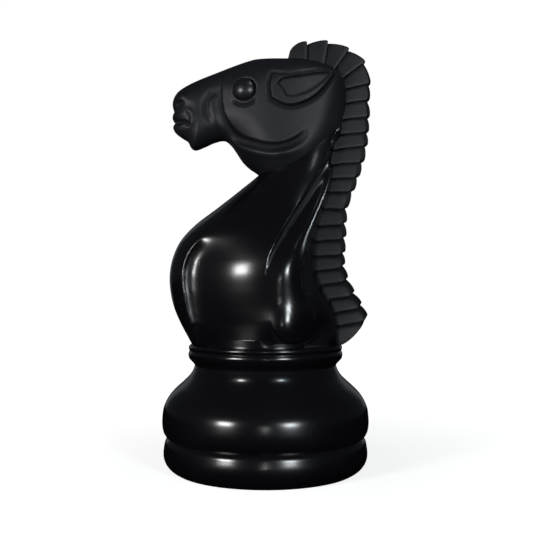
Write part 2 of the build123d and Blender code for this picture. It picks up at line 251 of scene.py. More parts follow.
def onto_surface(field, low, step, points, keep_y=False, rounds=3):
    """Points moved along the field's slope until they lie on its zero surface."""
    for _ in range(rounds):
        value, normal = sample(field, low, step, points), slope(field, low, step, points)
        if keep_y:
            normal[:, 1] = 0
        push = value / np.maximum((normal**2).sum(axis=1), FLATTEST_SLOPE)
        points = points - np.clip(push, -step, step)[:, None] * normal
    return points


def half_form(field, low, step):
    """Vertices and quads of the -Y half, with its rim exactly on the parting plane."""
    points, quads = surface(field, low, step)
    quads = quads[(points[quads][:, :, 1] < 0).all(axis=1)]
    kept, quads = np.unique(quads, return_inverse=True)
    points, quads = onto_surface(field, low, step, points[kept]), quads.reshape(-1, 4)
    edges = np.sort(np.vstack([quads[:, [n, (n + 1) % 4]] for n in range(4)]), axis=1)
    pairs, uses = np.unique(edges, axis=0, return_counts=True)
    rim = np.unique(pairs[uses == 1])
    rim = rim[points[rim, 1] > -1.5 * step]
    points[rim, 1] = 0
    points[rim] = onto_surface(field, low, step, points[rim], keep_y=True)
    return points, quads


def mesh_object(name, points, faces, body, stands_for, smooth_angle=None):
    """Object from points in millimetres, on its body, in place of its CAD nodes."""
    mesh = bpy.data.meshes.new(name)
    mesh.from_pydata((np.asarray(points) * MM).tolist(), [], [list(map(int, f)) for f in faces])
    mesh.validate()
    made = bpy.data.objects.new(name, mesh)
    bpy.context.scene.collection.objects.link(made)
    mesh.polygons.foreach_set("use_smooth", [True] * len(mesh.polygons))
    if smooth_angle is not None:
        mesh.set_sharp_from_angle(angle=math.radians(smooth_angle))
    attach(made, body)
    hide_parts(*stands_for)
    print(name, len(mesh.vertices), "vertices", len(mesh.polygons), "faces")
    return made


def both_halves(name, points, quads):
    """The left half and its mirror image."""
    left = mesh_object(name + "_left_form", points, quads, "horse", [name + "_left"])
    other = points * [1, -1, 1]
    right = mesh_object(name + "_right_form", other, quads[:, ::-1], "horse",
                        [name + "_right"])
    return left, right


# %% [markdown]
# ## Neck and chest
# The neck grows from a round foot on the collar to a narrow oval under the jaw, and the chest
# bulges forward. Long flutes are carved in each side: a wide hollow behind a crisp ridge along
# the chest, a crisp diagonal edge from the poll to the belly, and a drop-shaped lobe beside the
# mane. Each is a formula of the distance to a curve, so moving a few points moves the flute.

# %% Neck sections and flutes
NECK_SECTIONS = [  # height, front, back, half width, X of the widest place
    (134.0, -82.0, 83.0, 75.4, 0.0), (139.0, -82.6, 83.0, 75.4, 0.0),
    (147.0, -86.5, 83.5, 75.6, 2.0), (158.0, -92.5, 83.0, 76.2, 5.0),
    (178.0, -101.5, 79.0, 78.4, 9.0), (200.0, -106.6, 66.0, 81.2, 11.0),
    (220.0, -107.0, 60.0, 82.4, 11.0), (238.0, -103.0, 60.5, 80.8, 10.0),
    (256.0, -94.0, 62.0, 74.5, 10.0), (273.0, -78.0, 65.0, 65.0, 13.0),
    (290.0, -55.7, 70.0, 55.0, 20.0), (312.0, -27.6, 75.5, 46.0, 31.0),
    (330.0, -6.0, 79.5, 41.0, 40.0), (347.0, 8.0, 83.0, 36.0, 47.0),
    (366.0, 26.0, 86.0, 31.0, 56.0), (384.0, 48.0, 88.0, 22.0, 68.0),
    (400.0, 62.0, 84.0, 12.0, 73.0),
]
FRONT_EDGE = [(-47.0, 276.0), (-58.4, 267.1), (-69.6, 255.3), (-81.1, 240.5), (-87.0, 225.9),
              (-88.5, 211.1), (-87.2, 196.3), (-84.5, 180.0), (-80.0, 163.0)]
DIAGONAL_EDGE = [(80.0, 378.0), (64.6, 340.3), (55.2, 323.1), (36.9, 292.8), (23.6, 271.0),
                 (7.3, 241.3), (2.1, 228.3), (-3.0, 207.0)]
DROP_EDGE = [(77.0, 340.0), (70.7, 316.0), (62.1, 290.6), (50.1, 260.2), (40.7, 233.6),
             (37.9, 210.8), (41.1, 196.3), (47.5, 181.8), (52.3, 165.7), (50.6, 156.2),
             (43.8, 147.9), (29.2, 144.5), (16.5, 147.9), (8.9, 157.0), (6.0, 170.0)]
DROP_RIDGE = [(78.0, 345.0), (66.0, 316.0), (50.0, 277.0), (36.0, 240.0), (29.0, 210.0),
              (29.0, 166.0)]
FLUTE_DEPTH = 10.0
FLUTE_WIDTH = 26.0
FLUTE_RUN_OUT = (232, 276)  # heights between which the front flute fades away
DIAGONAL_DEPTH = 7.0
DIAGONAL_WIDTH = 24.0
DROP_DEPTH = 6.0
DROP_WIDTH = 36.0
DROP_NARROWING = 14.0
DROP_RIDGE_HEIGHT = 4.2
DROP_DOME = (20.0, 160.0)  # middle of the lobe's round lower end
DROP_DOME_HEIGHT = 6.5
DROP_DOME_RADIUS = 21.0


def flute(distance, depth, width):
    """Wide hollow that starts at a crisp ridge, is deepest at its width and rises slowly."""
    into = (distance + np.hypot(distance, 0.8)) / 2 / width
    return -depth * into * np.exp(1 - into)


def flute_edge(away, depth, wall, width, lip):
    """Carved edge whose high side slopes up to it."""
    slope_up = lip * np.exp(-np.abs(away) / np.where(away < 0, 11.0, 1.5))
    return step_edge(away, depth, wall, width) + slope_up


def neck_field(x, y, z):
    """Negative inside the neck and chest."""
    front, back, half, widest = through(NECK_SECTIONS, z[0])
    side_x, side_z = x[:, 0], z[0, 0][None, :] + 0 * x[:, 0]
    edge = smooth_line(FRONT_EDGE)[::-1]
    away = side_x - np.interp(side_z, edge[:, 1], edge[:, 0])
    lasting = 1 - ramp(*FLUTE_RUN_OUT, side_z)
    relief = flute(away, FLUTE_DEPTH, FLUTE_WIDTH) * lasting
    away, share = nearest(smooth_line(DIAGONAL_EDGE), side_x, side_z)
    diagonal = flute_edge(away, DIAGONAL_DEPTH, 2.2, DIAGONAL_WIDTH, 2.0)
    relief += diagonal * fade(share, 0.12, 0.4)
    away, share = nearest(smooth_line(DROP_RIDGE), side_x, side_z)
    relief += DROP_RIDGE_HEIGHT * bell(away, 5.0 + 12.0 * share) * fade(share, 0.3, 0.65)
    from_dome = np.hypot(side_x - DROP_DOME[0], side_z - DROP_DOME[1])
    relief += DROP_DOME_HEIGHT * bell(from_dome, DROP_DOME_RADIUS)
    away, share = nearest(smooth_line(DROP_EDGE), side_x, side_z)
    drop = flute_edge(away, DROP_DEPTH, 2.0, DROP_WIDTH - DROP_NARROWING * share, 0.3)
    relief += drop * fade(share, 0.3, 0.14)
    relief = relief[:, None, :] * ramp(2.0, 13.0, np.abs(y))
    reach = np.where(x < widest, widest - front, back - widest)
    ring = np.sqrt(((x - widest) / reach) ** 2 + (y / half) ** 2)
    body = (ring - 1) * np.minimum((back - front) / 2, half)
    return body - relief + parting_seam(y)


def grid(low, high, step):
    """Grid places as three arrays, with the plane Y = 0 midway between two grid planes."""
    axes = [np.arange(a, b, step) for a, b in zip(low, high)]
    axes[1] = -step / 2 + step * np.arange(math.floor(low[1] / step), 2)
    low = np.array([axis[0] for axis in axes])
    return low, np.meshgrid(*axes, indexing="ij")


NECK_FOOT_Z = 139.0
NECK_STEP = 0.95
low, (x, y, z) = grid((-114, -90, 136), (97, 0, 402), NECK_STEP)
neck_points, neck_quads = half_form(neck_field(x, y, z), low, NECK_STEP)
neck_points[:, 2] = np.maximum(neck_points[:, 2], NECK_FOOT_Z)
neck_left, neck_right = both_halves("neck", neck_points, neck_quads)

# %% [markdown]
# ## Head
# Seen from the side the head is an outline with a long flat forehead, two lips and a round
# cheek that stands proud of the neck. The thickness follows the horse: narrow at the nose and
# widest at the cheek. The cheek's edge, the ear, the eye socket, the nostril and the mouth are
# reliefs on that side.

# %% Head outline and reliefs
FOREHEAD = [(88.0, 436.0), (80.0, 445.0), (62.0, 453.5), (40.0, 458.0), (24.2, 458.2),
            (8.0, 458.4), (-8.0, 457.8), (-18.0, 455.8), (-33.2, 450.9), (-57.9, 441.8),
            (-75.9, 434.6), (-89.5, 427.9), (-98.4, 421.6), (-103.1, 414.2), (-104.3, 406.9),
            (-102.4, 399.0)]
UPPER_LIP = [(-102.4, 399.0), (-104.0, 395.8), (-104.4, 392.5), (-103.2, 389.0), (-101.0, 386.8)]
LOWER_LIP = [(-101.0, 386.8), (-103.4, 383.8), (-103.2, 379.5), (-99.6, 374.8), (-93.0, 370.0),
             (-87.2, 366.2), (-84.4, 360.6)]
CHIN = [(-84.4, 360.6), (-81.5, 357.6), (-77.1, 357.0), (-68.1, 360.4), (-59.1, 364.6),
        (-50.5, 367.4)]
JAW = [(-50.5, 367.4), (-44.5, 367.0), (-37.6, 361.0), (-31.0, 351.5), (-25.9, 343.9),
       (-18.6, 336.6), (-9.6, 330.4), (3.0, 321.0), (20.0, 318.0), (39.0, 323.5),
       (58.0, 337.0), (73.0, 355.0), (83.0, 374.0), (89.0, 394.0), (92.0, 412.0), (91.0, 427.0),
       (88.0, 436.0)]
HEAD_THICKNESS = [  # X, half width, rounding of the outline
    (-112.0, 17.0, 16.0), (-103.0, 19.0, 18.0), (-94.0, 23.5, 24.0), (-80.0, 26.5, 29.0),
    (-62.0, 27.5, 30.0), (-50.0, 30.0, 31.0), (-36.0, 35.0, 34.0), (-18.0, 40.5, 38.0),
    (10.0, 46.0, 40.0), (38.0, 46.5, 36.0), (62.0, 43.0, 32.0), (80.0, 38.0, 28.0),
    (100.0, 32.0, 26.0),
]
MASK_EDGE = [(-45.0, 452.0), (-46.7, 436.0), (-47.2, 418.0), (-46.5, 403.0), (-42.5, 388.0),
             (-31.8, 373.6), (-21.0, 366.0), (-9.1, 361.2), (1.6, 358.2), (12.3, 357.5),
             (22.0, 359.4), (31.7, 364.0), (38.5, 369.2), (44.5, 376.5)]
JAW_ROLL = [(-42.9, 366.0), (-25.5, 354.5), (-0.5, 346.0), (24.4, 347.5), (44.0, 358.4)]
MUZZLE_GROOVE = [(-46.0, 420.0), (-52.0, 417.5), (-60.9, 413.4), (-65.2, 405.6), (-65.7, 396.8),
                 (-62.6, 388.0), (-56.0, 380.0)]
LIP_FOLD = [(-93.0, 399.5), (-85.0, 397.5), (-80.5, 391.0), (-81.0, 383.0), (-86.0, 376.5)]
MOUTH = [(-102.0, 386.4), (-96.0, 385.4), (-90.0, 385.2), (-85.1, 383.0), (-83.5, 377.5)]
NOSTRIL = (-94.5, 405.5)
NOSTRIL_RIM = (-92.5, 413.0)
EYE = (-22.2, 416.5)
LOWER_LID = [(-37.0, 407.0), (-31.0, 401.5), (-22.5, 399.0), (-14.0, 401.5), (-9.0, 408.0)]
EAR_OUTLINE = [[(72.4, 438.6), (57.2, 435.3), (40.4, 431.7), (25.0, 430.0), (8.0, 432.0)],
               [(8.0, 432.0), (5.3, 424.0), (5.2, 414.0), (6.1, 405.5)],
               [(6.1, 405.5), (14.0, 400.8), (23.8, 397.3), (33.6, 398.4), (41.8, 401.2),
                (51.7, 406.8), (61.8, 416.0), (70.4, 427.2), (75.3, 435.0)],
               [(75.3, 435.0), (75.0, 438.0), (72.4, 438.6)]]
EAR_RECESS = [[(12.3, 420.2), (15.0, 423.5), (17.3, 425.6)],
              [(17.3, 425.6), (27.1, 427.4), (40.3, 429.6), (57.0, 433.0), (70.5, 435.5)],
              [(70.5, 435.5), (66.5, 427.5), (58.1, 419.6), (46.9, 412.0), (33.6, 407.0),
               (22.1, 406.8)],
              [(22.1, 406.8), (19.7, 411.2), (16.9, 416.1), (12.3, 420.2)]]


def head_relief(x, z):
    """Height of the carving over the head's side, in millimetres."""
    away, share = nearest(smooth_line(MASK_EDGE), x, z)
    relief = step_edge(-away, 3.8, 2.4, 12.0) * fade(share, 0.4, 0.14)
    away, share = nearest(smooth_line(JAW_ROLL), x, z)
    relief += 2.2 * bell(away, 5.0) * fade(share, 0.2, 0.3)
    away, share = nearest(smooth_line(MUZZLE_GROOVE), x, z)
    relief -= 3.2 * bell(away, 4.0) * fade(share, 0.35, 0.3)
    away, share = nearest(smooth_line(LIP_FOLD), x, z)
    relief += (1.1 * bell(away, 3.0) - 0.6 * bell(away + 4.0, 2.0)) * fade(share, 0.3, 0.3)
    away, share = nearest(smooth_line(MOUTH), x, z)
    relief -= 3.2 * bell(away, 1.7) * fade(share, 0.0, 0.35)
    relief -= 1.5 * bell(away + 3.0, 4.0) * fade(share, 0.0, 0.3)
    relief -= 2.6 * bell(np.hypot(x - NOSTRIL[0], (z - NOSTRIL[1]) * 1.5), 4.2)
    relief += 2.2 * bell(np.hypot(x - NOSTRIL_RIM[0], z - NOSTRIL_RIM[1]), 6.0)
    around = np.hypot(x - EYE[0], z - EYE[1])
    relief -= 2.4 * (1 - ramp(10.2, 12.6, around))
    relief += 0.8 * bell(around - 14.4, 3.0)
    away, share = nearest(smooth_line(LOWER_LID), x, z)
    relief -= 1.8 * bell(away, 1.4) * fade(share, 0.25, 0.25)
    ear = inside_distance(joined(*EAR_OUTLINE), x, z)
    relief += 3.0 * ramp(-1.2, 1.4, ear) - 1.5 * bell(ear + 2.2, 1.7)
    relief -= 2.8 * ramp(-1.0, 1.4, inside_distance(joined(*EAR_RECESS), x, z))
    return relief


def head_field(x, y, z):
    """Negative inside the head."""
    side_x, side_z = x[:, 0], z[0, 0][None, :] + 0 * x[:, 0]
    edge = inside_distance(joined(FOREHEAD, UPPER_LIP, LOWER_LIP, CHIN, JAW), side_x, side_z)
    half, rounding = through(HEAD_THICKNESS, side_x)
    depth = np.maximum(rounding - edge, 0)[:, None, :]
    soft = np.sqrt(depth**2 + 9.0) - 3.0
    rounding, half = rounding[:, None, :], half[:, None, :]
    body = np.sqrt(soft**2 + (y * rounding / half) ** 2) - (np.sqrt(rounding**2 + 9.0) - 3.0)
    relief = head_relief(side_x, side_z)[:, None, :] * ramp(4.0, 14.0, np.abs(y))
    return body - relief + parting_seam(y)


HEAD_STEP = 0.9
low, (x, y, z) = grid((-110, -58, 312), (97, 0, 466), HEAD_STEP)
head_points, head_quads = half_form(head_field(x, y, z), low, HEAD_STEP)
head_left, head_right = both_halves("head", head_points, head_quads)

# %% [markdown]
# ## Mane
# The mane is one strip set in the back of the head and neck. It is moulded as a row of
# overlapping teeth: each grows wider and thicker towards its lower edge, then steps back where
# the next begins. A rounded section is carried along the row, tooth by tooth.

# %% Mane with stepped teeth
MANE_LINES = [  # lower line of each tooth: root X, root Z, crest X, crest Z
    (25.0, 454.0, 25.5, 478.0), (46.0, 451.5, 46.4, 477.0), (65.3, 448.5, 69.8, 478.0),
    (78.0, 446.1, 93.8, 469.4), (92.0, 439.3, 111.6, 454.8), (91.0, 423.2, 117.2, 430.6),
    (90.7, 407.1, 115.6, 412.5), (89.9, 389.3, 115.8, 393.7), (86.5, 372.4, 114.5, 377.1),
    (83.9, 356.3, 113.2, 362.0), (80.5, 339.4, 109.2, 343.8), (76.3, 323.3, 103.9, 327.2),
    (72.1, 308.0, 98.1, 311.6), (67.0, 289.7, 90.6, 292.2), (61.1, 270.4, 89.3, 275.7),
    (60.2, 253.9, 88.8, 259.6), (57.7, 237.0, 87.5, 242.2), (56.0, 220.4, 87.2, 228.3),
    (55.0, 203.9, 90.8, 213.2), (66.0, 188.3, 98.2, 197.6), (75.0, 173.3, 106.2, 184.5),
    (80.0, 159.0, 112.7, 170.5), (76.0, 143.0, 86.8, 140.6),
]
TOOTH_STEP = 3.6
TOOTH_SIDE_STEP = 2.2
MANE_HALF = 14.0
MANE_ROOT_DEPTH = 9.0
TOOTH_STATIONS = (0.0, 0.1, 0.22, 0.36, 0.5, 0.64, 0.77, 0.88, 0.95, 0.985)


def mane_ring(tooth, share):
    """Section across the mane at a share of one tooth: side, bevel, narrow crest, and back."""
    first, second = (np.array(MANE_LINES[n]) for n in (tooth, tooth + 1))
    mixed = first + share * (second - first)
    root, crest = mixed[:2], mixed[2:]
    reach = np.hypot(*(crest - root))
    along = (crest - root) / reach
    down_row = np.array([along[1], -along[0]])
    bulge = math.sin(math.pi * share)
    place = (tooth + share) / (len(MANE_LINES) - 1)
    bevel = 3.0 + 4.0 * ramp(0.1, 0.5, place)
    if tooth == 0:
        reach *= 0.17 + 0.83 * math.sqrt(1 - (1 - share) ** 2)
    elif tooth == len(MANE_LINES) - 2:
        reach += 5.0 * bulge - TOOTH_STEP * (1 - share) ** 3
    else:
        reach += 0.9 * bulge - TOOTH_STEP * (1 - share) ** 1.5
    lip = 0.7 * ramp(0.9, 1.0, share)
    reach += 0.8 + 1.6 * place - lip
    under = 1.5 * (1 - ramp(0.0, 0.14, share))
    half = MANE_HALF - lip - under - TOOTH_SIDE_STEP * (1 - share) ** 1.2
    edge = 0.90 * half
    ring = [(a, -half + (half - edge) * max(a / reach, 0) ** 2)
            for a in np.linspace(-MANE_ROOT_DEPTH, reach - bevel, 8)]
    for turn in np.linspace(18, 90, 6):
        angle = math.radians(turn)
        ring.append((reach - bevel + bevel * math.sin(angle) ** 1.3,
                     -edge + (edge - 3.0) * (1 - math.cos(angle))))
    ring.append((reach + 0.3, -1.2))
    ring += [(a, -y) for a, y in reversed(ring)]
    points = []
    for a, y in ring:
        sag = 4.0 * place * (ramp(0.0, reach - bevel, a) - ramp(reach - bevel, reach, a))
        x, z = root + a * along + sag * down_row
        points.append((x, y, z))
    return points


rings = [mane_ring(tooth, share) for tooth in range(len(MANE_LINES) - 1)
         for share in TOOTH_STATIONS]
around = len(rings[0])
mane_faces = [list(range(around)), [len(rings) * around - 1 - n for n in range(around)]]
for ring in range(len(rings) - 1):
    for n in range(around):
        a, b = ring * around + n, ring * around + (n + 1) % around
        mane_faces.append([b, a, a + around, b + around])
mane = mesh_object("mane_form", np.array(rings).reshape(-1, 3), mane_faces, "horse",
                   ["mane"], smooth_angle=32)

# %% [markdown]
# ## Turned pieces
# Foot, pedestal and collar are round, so each is a profile turned about the upright axis. The
# profiles keep the narrow V grooves at the seams, which catch a thin line of light.

# %% Foot, pedestal and collar
def lathe(name, profile, body, stands_for, closed=True, segments=224):
    """A profile of (radius, height) turned about the pedestal's axis."""
    segments = segments
    turns = np.arange(segments) * 2 * math.pi / segments
    points = [(r * math.cos(t), r * math.sin(t), z) for r, z in profile for t in turns]
    rows = len(profile)
    faces = []
    for row in range(rows if closed else rows - 1):
        following = (row + 1) % rows
        for n in range(segments):
            m = (n + 1) % segments
            faces.append([row * segments + n, row * segments + m,
                          following * segments + m, following * segments + n])
    return mesh_object(name, np.array(points), faces, body, stands_for, smooth_angle=40)


FOOT_SIDE = [(101.0, 0.0), (106.4, 3.4), (110.8, 8.4), (113.3, 14.5), (113.7, 21.0),
             (112.8, 28.0), (111.6, 33.0), (108.8, 36.8)]
FOOT_UNDER = [(108.8, 36.8), (24.0, 36.8), (24.0, 30.8), (103.0, 30.8), (105.0, 14.0),
              (101.0, 5.0), (96.0, 0.3), (101.0, 0.0)]
PEDESTAL_SIDE = [(108.8, 36.8), (111.2, 39.2), (113.8, 44.0), (115.0, 50.5), (115.0, 58.5),
                 (113.8, 68.5), (110.8, 76.5), (106.2, 84.0), (99.8, 91.0), (92.0, 98.0),
                 (85.4, 104.4), (81.6, 109.8), (79.0, 116.0)]
PEDESTAL_TOP = [(79.0, 116.0), (56.0, 116.0), (56.0, 151.0), (55.0, 152.0), (2.0, 152.0)]
COLLAR_SIDE = [(79.0, 116.15), (80.4, 118.6), (83.2, 121.6), (85.4, 124.4), (86.2, 127.6),
               (86.0, 130.2), (85.2, 131.8), (84.8, 132.6), (85.2, 133.4), (85.8, 135.2),
               (85.6, 137.2), (84.2, 139.0)]
COLLAR_INSIDE = [(82.6, 139.0), (56.15, 139.0), (56.15, 116.15), (79.0, 116.15)]

foot_profile = np.vstack([smooth_line(FOOT_SIDE, steps=6)[:-1], np.array(FOOT_UNDER)[:-1]])
foot = lathe("foot_form", foot_profile, "base", ["foot"])
pedestal_profile = np.vstack([smooth_line(PEDESTAL_SIDE, steps=6)[:-1], np.array(PEDESTAL_TOP)])
pedestal = lathe("pedestal_form", pedestal_profile, "base", ["pedestal"],
                 closed=False)
collar_profile = np.vstack([smooth_line(COLLAR_SIDE, steps=6)[:-1], np.array(COLLAR_INSIDE)[:-1]])
collar = lathe("collar_form", collar_profile, "collar", ["collar"])

# %% [markdown]
# ## Eyes
# Each eye is a low dome set in a round socket, turned a little towards the nose. Its place comes
# from the CAD node, and is moved a little to the middle of the socket carved in the head. The
# socket has its own fixed place, so the two have to be changed together.

# %% Eyes
EYE_DOME_R = 17.5
EYE_RIM_R = 11.5
EYE_TURN = math.radians(14)
EYE_TIP = 11.6  # from the node's middle to the dome's highest point
EYE_SHIFT = (-1.0, 0, -1.0)


def dome(name, node, side):
    """Low dome facing the head's side, -1 or 1, with a closed back."""
    low, high = (np.array(corner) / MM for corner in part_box(node))
    middle = (low + high) / 2 + EYE_SHIFT
    out = np.array([-math.sin(EYE_TURN), side * math.cos(EYE_TURN), 0])
    across = np.array([math.cos(EYE_TURN), side * math.sin(EYE_TURN), 0])
    centre = middle + (EYE_TIP - EYE_DOME_R) * out
    rows, columns = 16, 64
    widest = math.asin(EYE_RIM_R / EYE_DOME_R)
    points, faces = [], []
    for row in range(1, rows + 1):
        tilt = widest * row / rows
        for column in range(columns):
            turn = 2 * math.pi * column / columns
            ring = math.cos(turn) * across + math.sin(turn) * np.array([0, 0, 1])
            points.append(centre + EYE_DOME_R * (math.cos(tilt) * out + math.sin(tilt) * ring))
    for row in range(rows - 1):
        for column in range(columns):
            a, b = row * columns + column, row * columns + (column + 1) % columns
            faces.append([a, a + columns, b + columns, b][::side])
    faces.append(list(range(columns))[::side])
    faces.append(list(range((rows - 1) * columns, rows * columns))[::-side])
    return mesh_object(name, np.array(points), faces, "horse", [node])


eyes = [dome("eye_left_form", "eye_left", -1), dome("eye_right_form", "eye_right", 1)]

# %% [markdown]
# ## Hollows and dust
# Dust settles where a surface is hollow, and handling keeps the crests clean. How hollow each
# vertex is follows from its neighbours: if they lie in front of it, it is in a hollow. The
# number is stored on the mesh, and the materials are dustier and rougher where it is high.

# %% Store how hollow each vertex is
def store_hollow(item, rounds=6):
    """Attribute "hollow" from 0 on crests to 1 in grooves, 0.5 where flat."""
    mesh = item.data
    count = len(mesh.vertices)
    places = np.empty(count * 3)
    mesh.vertices.foreach_get("co", places)
    places = places.reshape(-1, 3)
    normals = np.empty(count * 3)
    mesh.vertices.foreach_get("normal", normals)
    normals = normals.reshape(-1, 3)
    ends = np.empty(len(mesh.edges) * 2, int)
    mesh.edges.foreach_get("vertices", ends)
    first, second = ends.reshape(-1, 2).T
    number = np.maximum(np.bincount(ends, minlength=count), 1)

    def average(values):
        total = np.bincount(first, values[second], count) + np.bincount(second, values[first], count)
        return total / number

    around = np.stack([average(places[:, axis]) for axis in range(3)], axis=1)
    hollow = ((around - places) * normals).sum(axis=1) / MM
    for _ in range(rounds):
        hollow = (hollow + average(hollow)) / 2
    layer = mesh.attributes.new("hollow", "FLOAT", "POINT")
    layer.data.foreach_set("value", np.clip(0.5 + 8 * hollow, 0, 1))


for item in (neck_left, neck_right, head_left, head_right, mane):
    store_hollow(item)

# %% [markdown]
# ## Shared surface effects
# Every moulded surface has a slight unevenness: cloudy patches, a fine grain from the mould
# and a few hair scratches. One node group makes these once, with sliders, together with the
# masks for dust and hollows, and each material uses it with its own strength.

# %% Node group of the moulded skin
def socket(tree, name, kind, value=None, low=None, high=None, output=False):
    """One named input or output of a node group."""
    made = tree.interface.new_socket(name=name, in_out="OUTPUT" if output else "INPUT",
                                     socket_type=kind)
    if value is not None:
        made.default_value = value
    if low is not None:
        made.min_value, made.max_value = low, high
    return made


def noise(tree, scale, detail, place, stretch=None):
    """Noise texture at a place, optionally stretched."""
    node = tree.nodes.new("ShaderNodeTexNoise")
    node.inputs["Scale"].default_value = scale
    node.inputs["Detail"].default_value = detail
    if stretch:
        mapping = tree.nodes.new("ShaderNodeMapping")
        mapping.inputs["Scale"].default_value = stretch
        tree.links.new(place, mapping.inputs["Vector"])
        place = mapping.outputs["Vector"]
    tree.links.new(place, node.inputs["Vector"])
    return node.outputs["Fac"]


def remap(tree, value, low, high, new_low, new_high):
    """Value moved from one range to another, held inside it."""
    node = tree.nodes.new("ShaderNodeMapRange")
    for name, number in (("From Min", low), ("From Max", high), ("To Min", new_low),
                         ("To Max", new_high)):
        node.inputs[name].default_value = number
    tree.links.new(value, node.inputs["Value"])
    return node.outputs["Result"]


def combine(tree, kind, a, b):
    """Two values, or a value and a number, put together."""
    node = tree.nodes.new("ShaderNodeMath")
    node.operation = kind
    for place, part in zip(node.inputs, (a, b)):
        if isinstance(part, (int, float)):
            place.default_value = part
        else:
            tree.links.new(part, place)
    return node.outputs["Value"]


CLOUD_SCALE = 9.0
PATCH_SCALE = 14.0
RIPPLE_SCALE = 45.0
DUST_SCALE = 60.0
GRAIN_SCALE = 900.0
SCRATCH_STRETCHES = ((6.0, 260.0, 40.0), (260.0, 30.0, 8.0))


def moulded_skin():
    """Clouds, grain, scratches and dust of a moulded plastic skin."""
    tree = bpy.data.node_groups.new("moulded skin", "ShaderNodeTree")
    socket(tree, "Grain", "NodeSocketFloat", 0.5, 0.0, 1.0)
    socket(tree, "Scratches", "NodeSocketFloat", 0.3, 0.0, 1.0)
    socket(tree, "Clouds", "NodeSocketFloat", output=True)
    socket(tree, "Wear", "NodeSocketFloat", output=True)
    socket(tree, "Dust", "NodeSocketFloat", output=True)
    socket(tree, "Hollow", "NodeSocketFloat", output=True)
    socket(tree, "Height", "NodeSocketFloat", output=True)
    given = tree.nodes.new("NodeGroupInput")
    result = tree.nodes.new("NodeGroupOutput")
    place = tree.nodes.new("ShaderNodeTexCoord").outputs["Object"]
    clouds = remap(tree, noise(tree, CLOUD_SCALE, 5.0, place), 0.3, 0.7, 0.0, 1.0)
    grain = noise(tree, GRAIN_SCALE, 2.0, place)
    ripple = noise(tree, RIPPLE_SCALE, 2.0, place)
    scratch = None
    for stretch in SCRATCH_STRETCHES:
        line = remap(tree, noise(tree, 3.0, 2.0, place, stretch), 0.70, 0.76, 0.0, 1.0)
        scratch = line if scratch is None else combine(tree, "MAXIMUM", scratch, line)
    patches = remap(tree, noise(tree, PATCH_SCALE, 3.0, place), 0.5, 0.62, 0.0, 1.0)
    wear = combine(tree, "MULTIPLY", combine(tree, "MULTIPLY", scratch, patches),
                   given.outputs["Scratches"])
    hollow = tree.nodes.new("ShaderNodeAttribute")
    hollow.attribute_name = "hollow"
    deep = remap(tree, hollow.outputs["Fac"], 0.55, 0.95, 0.0, 1.0)
    specks = remap(tree, noise(tree, DUST_SCALE, 4.0, place), 0.35, 0.65, 0.2, 1.0)
    dust = combine(tree, "MULTIPLY", deep, specks)
    height = combine(tree, "MULTIPLY", grain, given.outputs["Grain"])
    height = combine(tree, "ADD", height, combine(tree, "MULTIPLY", ripple, 0.25))
    height = combine(tree, "SUBTRACT", height, wear)
    for name, value in (("Clouds", clouds), ("Wear", wear), ("Dust", dust), ("Hollow", deep),
                        ("Height", height)):
        tree.links.new(value, result.inputs[name])
    return tree


SKIN = moulded_skin()

# %% [markdown]
# ## Materials
# Black plastic is a very dark grey. What tells the glossy parts from the matt ones is the
# roughness: about 0.2 gives clear soft highlights, and 0.5 spreads them over the whole face.

# %% Materials
DUST_COLOUR = (0.09, 0.085, 0.08, 1)
DUST_SHARE = 0.05
WEAR_ROUGHNESS = 0.25
HOLLOW_ROUGHNESS = 0.5
BUMP_DISTANCE = 0.0004


def plastic(name, dark, light, rough, rough_spread, grain, scratches, bump):
    """Moulded plastic with its own depth of colour, roughness and grain."""
    made = bpy.data.materials.new(name)
    made.use_nodes = True
    tree = made.node_tree
    shader = tree.nodes["Principled BSDF"]
    skin = tree.nodes.new("ShaderNodeGroup")
    skin.node_tree = SKIN
    skin.inputs["Grain"].default_value = grain
    skin.inputs["Scratches"].default_value = scratches
    tint = tree.nodes.new("ShaderNodeMix")
    tint.data_type = "RGBA"
    tint.inputs["A"].default_value = (*dark, 1)
    tint.inputs["B"].default_value = (*light, 1)
    tree.links.new(skin.outputs["Clouds"], tint.inputs["Factor"])
    dusty = tree.nodes.new("ShaderNodeMix")
    dusty.data_type = "RGBA"
    dusty.inputs["B"].default_value = DUST_COLOUR
    tree.links.new(tint.outputs["Result"], dusty.inputs["A"])
    tree.links.new(combine(tree, "MULTIPLY", skin.outputs["Dust"], DUST_SHARE),
                   dusty.inputs["Factor"])
    tree.links.new(dusty.outputs["Result"], shader.inputs["Base Color"])
    roughness = remap(tree, skin.outputs["Clouds"], 0.0, 1.0, rough, rough + rough_spread)
    for mask, strength in (("Wear", WEAR_ROUGHNESS), ("Hollow", HOLLOW_ROUGHNESS)):
        added = combine(tree, "MULTIPLY", skin.outputs[mask], strength)
        roughness = combine(tree, "ADD", roughness, added)
    tree.links.new(roughness, shader.inputs["Roughness"])
    bumps = tree.nodes.new("ShaderNodeBump")
    bumps.inputs["Strength"].default_value = bump
    bumps.inputs["Distance"].default_value = BUMP_DISTANCE
    tree.links.new(skin.outputs["Height"], bumps.inputs["Height"])
    tree.links.new(bumps.outputs["Normal"], shader.inputs["Normal"])
    return made


